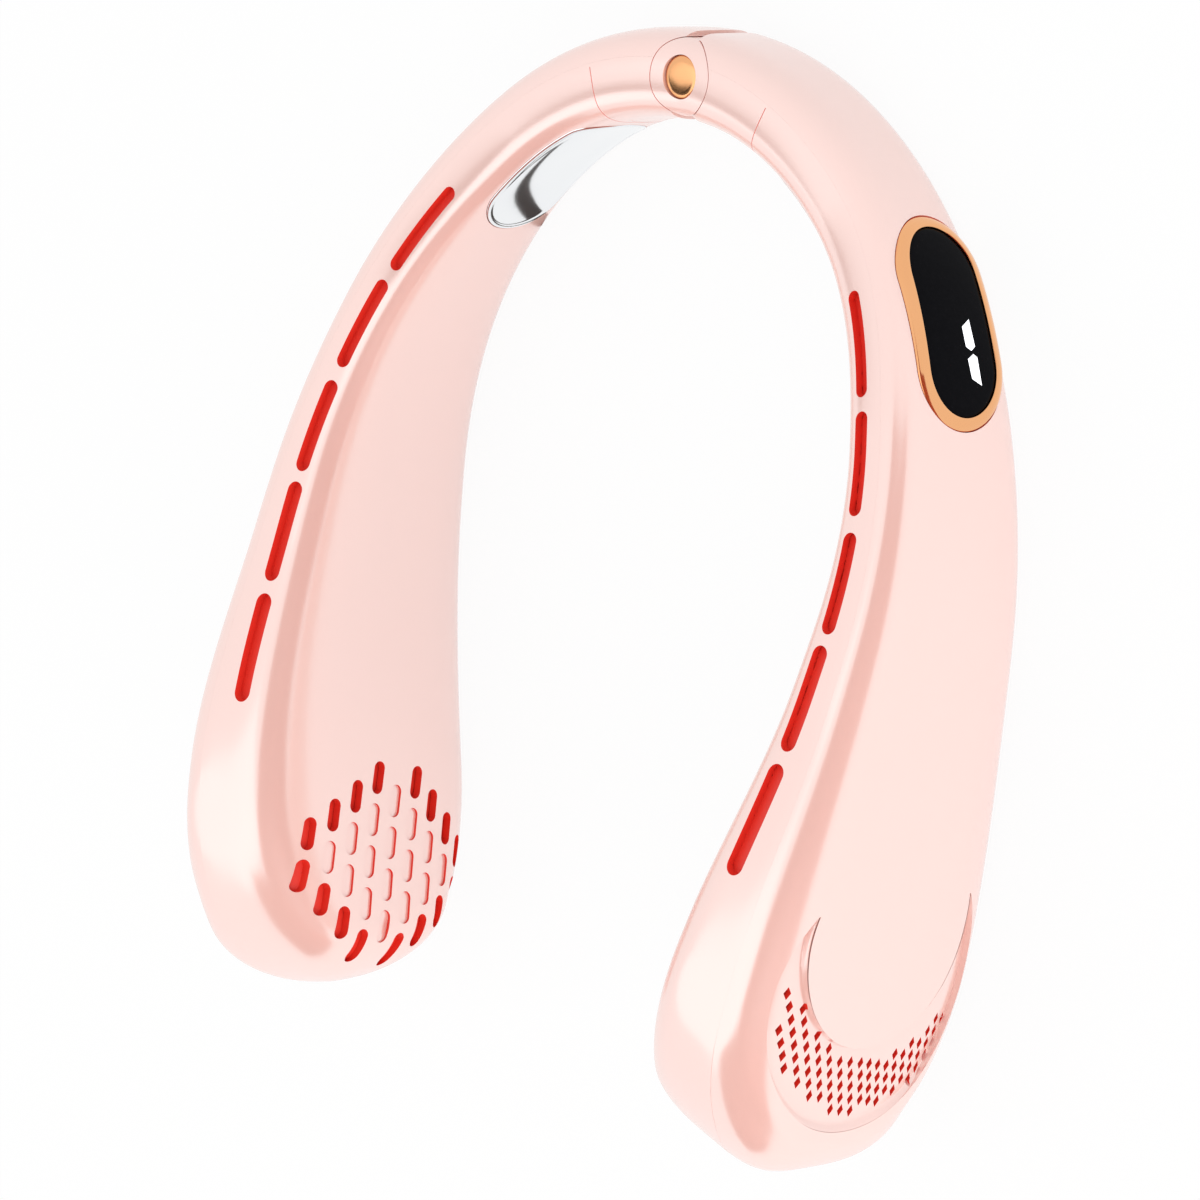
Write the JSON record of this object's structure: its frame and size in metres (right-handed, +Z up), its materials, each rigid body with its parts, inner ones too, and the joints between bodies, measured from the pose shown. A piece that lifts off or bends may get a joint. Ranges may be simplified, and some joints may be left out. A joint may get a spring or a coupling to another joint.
{
  "type": "neck fan",
  "caption": "Bladeless fan worn round the neck: two hinged arms with air slots along the top, round ends holding blowers, a small display and cooling plates.",
  "frame": {"origin": "middle of the footprint, on the surface that the arms' back edges lie on", "axes": "+X across towards the arm with the display, +Y towards the hinge behind the neck, +Z up towards the side with the air slots"},
  "size_m": [0.1578, 0.191, 0.057],
  "materials": {
    "pink_plastic": "satin gloss moulding",
    "red_plastic": "satin moulding",
    "white_plastic": "matt moulding",
    "polished_plate": "mirror polish",
    "rose_gold": "polished",
    "steel": "plain",
    "copper_windings": "lacquered wire",
    "ceramic": "matt ceramic",
    "sink_metal": "bare",
    "battery_can": "printed sleeve",
    "dark_glass": "dark gloss",
    "circuit_board": "lacquered board"
  },
  "bodies": {
    "left_arm": {"button_board": "circuit_board", "friction_washer": "steel", "hinge_pin": "steel", "left_air_duct": "red_plastic", "left_battery": "battery_can", "left_blower_scroll": "red_plastic", "left_cooler_tile": "ceramic", "left_cooling_plate": "polished_plate", "left_heat_sink": "sink_metal", "left_hinge_cover": "pink_plastic", "left_hinge_knuckle": "pink_plastic", "left_inner_shell": "pink_plastic", "left_motor_stator": "copper_windings", "left_outer_grille": "pink_plastic", "left_outer_shell": "pink_plastic", "left_scroll_screw_1": "steel", "left_scroll_screw_2": "steel", "pin_cap": "rose_gold", "pin_nut": "steel"},
    "right_arm": {"charging_socket": "steel", "control_board": "circuit_board", "display_bezel": "rose_gold", "display_board": "circuit_board", "display_glass": "dark_glass", "right_air_duct": "red_plastic", "right_battery": "battery_can", "right_blower_scroll": "red_plastic", "right_cooler_tile": "ceramic", "right_cooling_plate": "polished_plate", "right_heat_sink": "sink_metal", "right_hinge_cover": "pink_plastic", "right_hinge_knuckle": "pink_plastic", "right_inner_shell": "pink_plastic", "right_motor_stator": "copper_windings", "right_outer_grille": "pink_plastic", "right_outer_shell": "pink_plastic", "right_scroll_screw_1": "steel", "right_scroll_screw_2": "steel"},
    "left_fan": {"left_impeller": "white_plastic", "left_motor_shaft": "steel"},
    "right_fan": {"right_impeller": "white_plastic", "right_motor_shaft": "steel"},
    "power_button": {"power_button": "pink_plastic"},
    "cooling_button": {"cooling_button": "pink_plastic"}
  },
  "joints": [
    {"name": "arm_hinge", "type": "hinge", "parent": "left_arm", "child": "right_arm", "pos_m": [0, 0.08737, 0.0108], "axis": [0, 0, 1], "range_deg": [-20, 12]},
    {"name": "left_fan_spin", "type": "hinge", "parent": "left_arm", "child": "left_fan", "pos_m": [-0.06213, -0.06395, 0.02865], "axis": [-0.9815, -0.1874, 0.0381], "continuous": true},
    {"name": "right_fan_spin", "type": "hinge", "parent": "right_arm", "child": "right_fan", "pos_m": [0.06213, -0.06395, 0.02865], "axis": [0.9815, -0.1874, 0.0381], "continuous": true},
    {"name": "power_press", "type": "slide", "parent": "left_arm", "child": "power_button", "axis": [0.8308, -0.5564, 0.0138], "range_m": [0, 0.0005], "stiffness_N_per_m": 600, "springref_m": -0.0005},
    {"name": "cooling_press", "type": "slide", "parent": "left_arm", "child": "cooling_button", "axis": [0.9077, -0.4195, -0.0094], "range_m": [0, 0.0005], "stiffness_N_per_m": 600, "springref_m": -0.0005}
  ]
}
